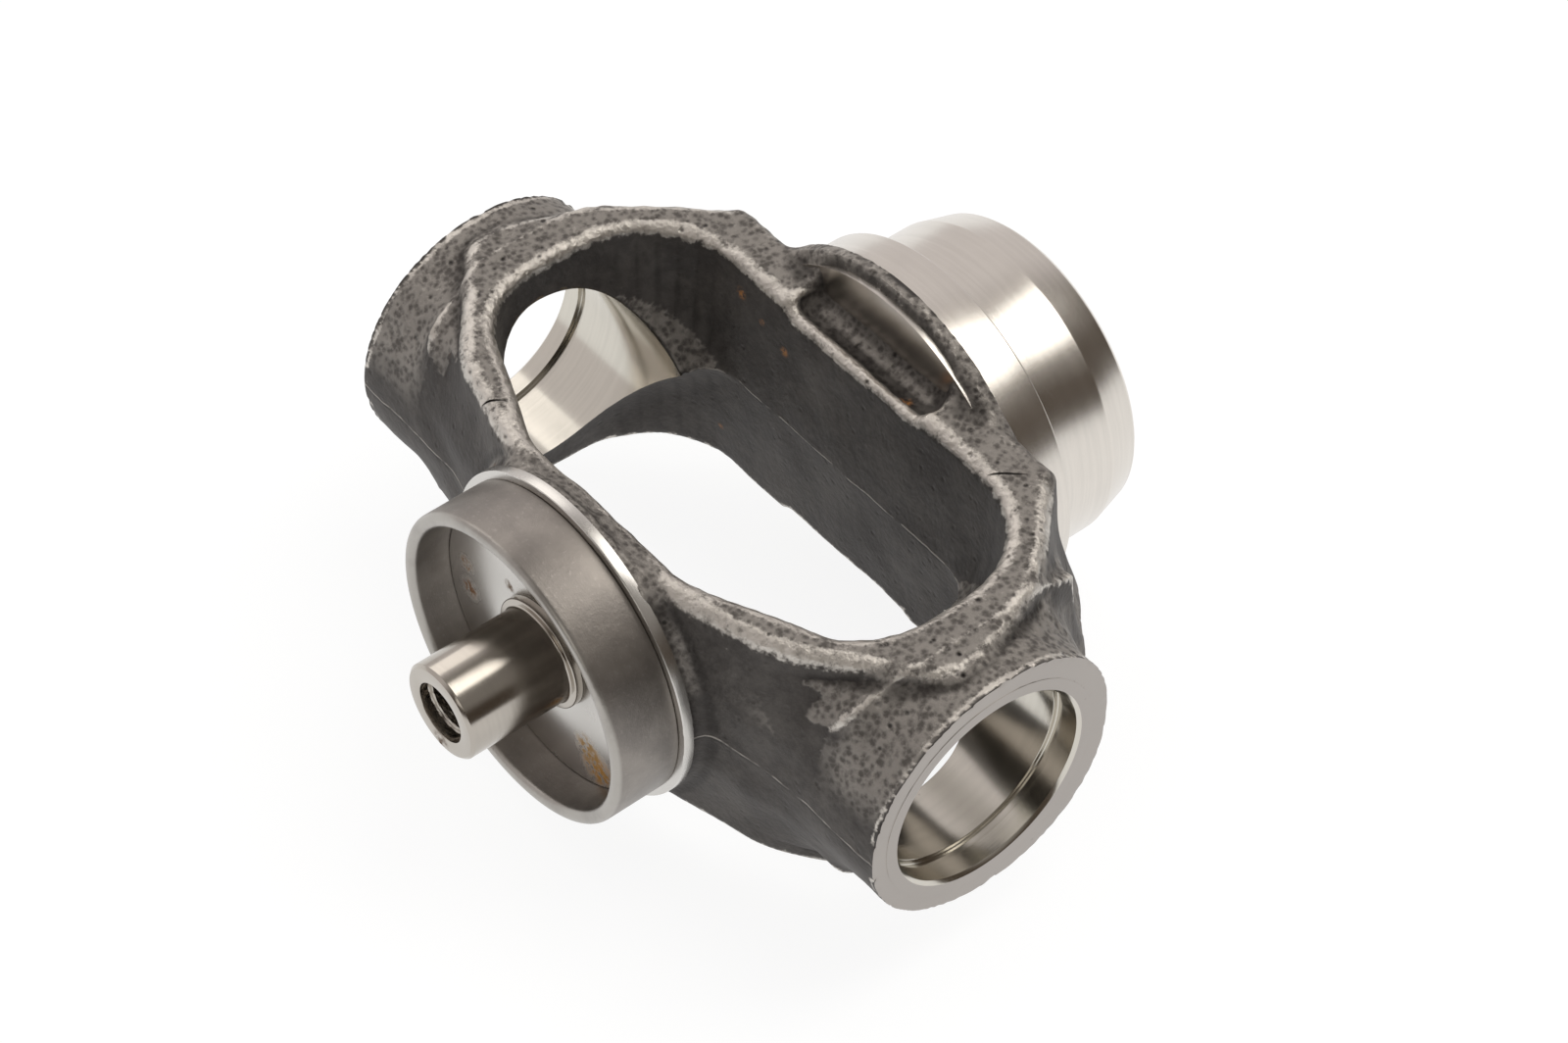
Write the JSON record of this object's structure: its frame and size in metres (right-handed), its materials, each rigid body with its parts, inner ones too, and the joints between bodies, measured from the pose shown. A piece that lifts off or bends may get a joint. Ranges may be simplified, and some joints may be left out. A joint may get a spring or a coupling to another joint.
{
  "type": "double cardan weld yoke",
  "caption": "Forged steel ring yoke with two bearing bores across an open window, a turned tube pilot at the rear and a ground centring pin inside a pressed seal cup at the front",
  "frame": {"origin": "centre of the joint, where the cross bore axis meets the shaft axis", "axes": "+X along the cross bores, +Y along the shaft from the centring pin to the tube hub, +Z normal to the forging's parting plane"},
  "size_m": [0.0966, 0.0902, 0.052],
  "materials": {
    "forged_steel": "rough dark forging scale, worn bright on the ridges, turned bright on the hub, spigot, boss faces and bores",
    "ground_steel": "ground and polished",
    "cup_steel": "dull drawn surface with a burnished rim"
  },
  "bodies": {
    "root": {"yoke_forging": "forged_steel", "centring_pin": "ground_steel", "seal_cup": "cup_steel"}
  },
  "joints": []
}
